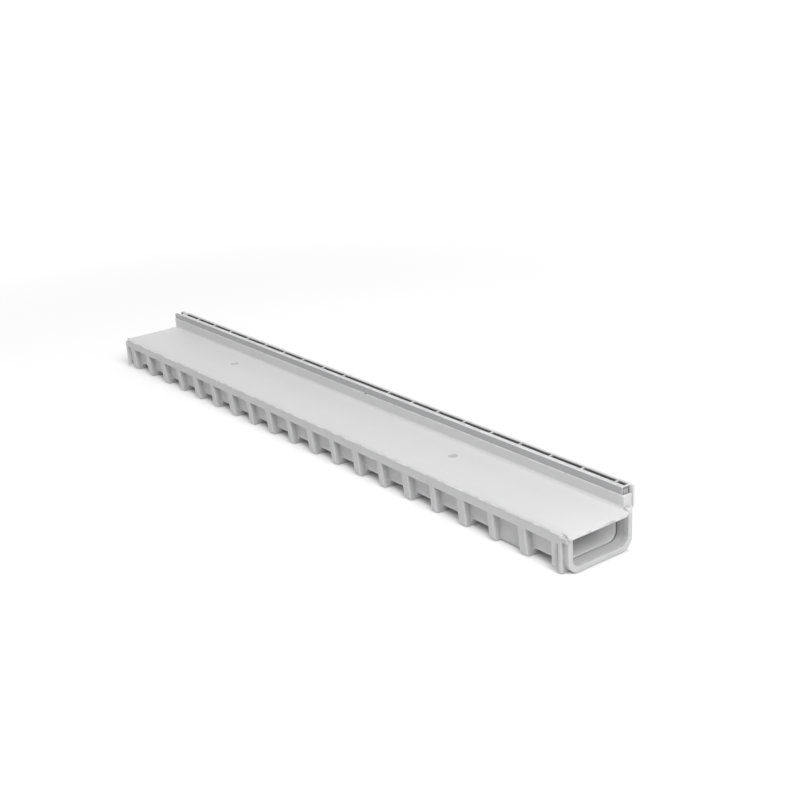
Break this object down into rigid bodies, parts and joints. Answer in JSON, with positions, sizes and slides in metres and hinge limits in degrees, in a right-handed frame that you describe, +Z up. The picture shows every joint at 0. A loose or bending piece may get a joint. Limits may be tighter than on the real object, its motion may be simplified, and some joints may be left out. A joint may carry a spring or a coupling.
{
  "type": "slot channel drain",
  "caption": "Shallow plastic channel drain with a ribbed trough, a flat cover and a raised slot inlet along its rear edge, with a socket collar at one end.",
  "frame": {"origin": "centre of the outline's base, on the ground under the ribs", "axes": "+X along the channel towards the socket collar, +Y across it towards the slot, +Z up"},
  "size_m": [1.014, 0.1076, 0.0715],
  "materials": {
    "grey_body": "moulded, satin",
    "grey_cover": "moulded, satin",
    "grey_rail": "moulded, satin"
  },
  "bodies": {
    "root": {"channel_body": "grey_body", "slot_cover": "grey_cover", "near_slot_rail": "grey_rail", "far_slot_rail": "grey_rail"}
  },
  "joints": []
}
